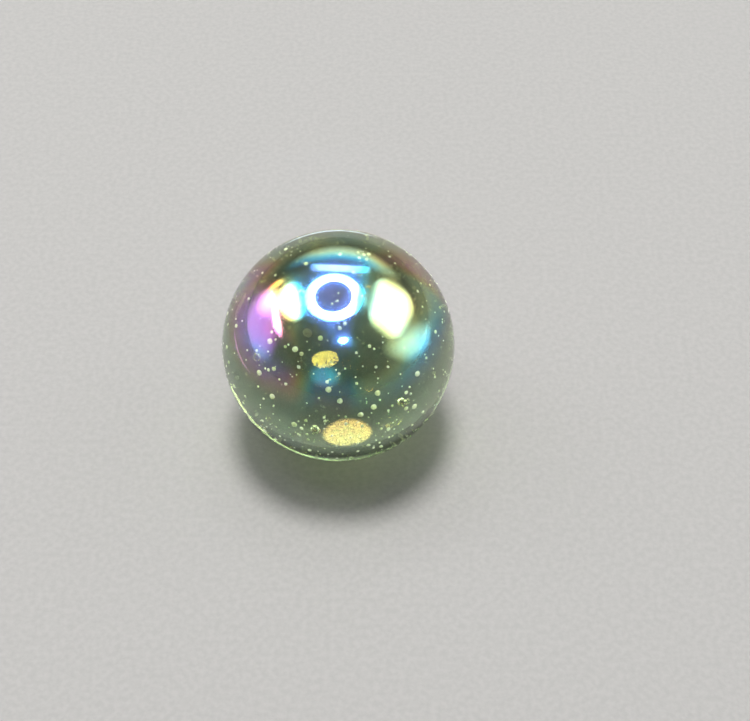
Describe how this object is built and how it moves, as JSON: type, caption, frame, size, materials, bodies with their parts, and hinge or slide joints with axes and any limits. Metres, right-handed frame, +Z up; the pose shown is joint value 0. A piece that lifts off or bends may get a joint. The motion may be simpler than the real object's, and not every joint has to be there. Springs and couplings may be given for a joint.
{
  "type": "iridescent glass ball",
  "caption": "Small solid ball of clear pale green glass with an iridescent lustre film and pale seeds caught inside it.",
  "frame": {"origin": "centre of the ball", "axes": "+Z up from the point that the ball rests on; -Y towards the side that holds the most large seeds"},
  "size_m": [0.016, 0.016, 0.016],
  "materials": {
    "clear_glass": "fire polished, clear with a faint green tint",
    "lustre": "mirror-bright iridescent film, purple through blue, green and gold",
    "pale_seed": "milky, unpolished"
  },
  "bodies": {
    "root": {"glass_ball": "clear_glass", "lustre_film": "lustre", "glass_seeds": "pale_seed"}
  },
  "joints": []
}
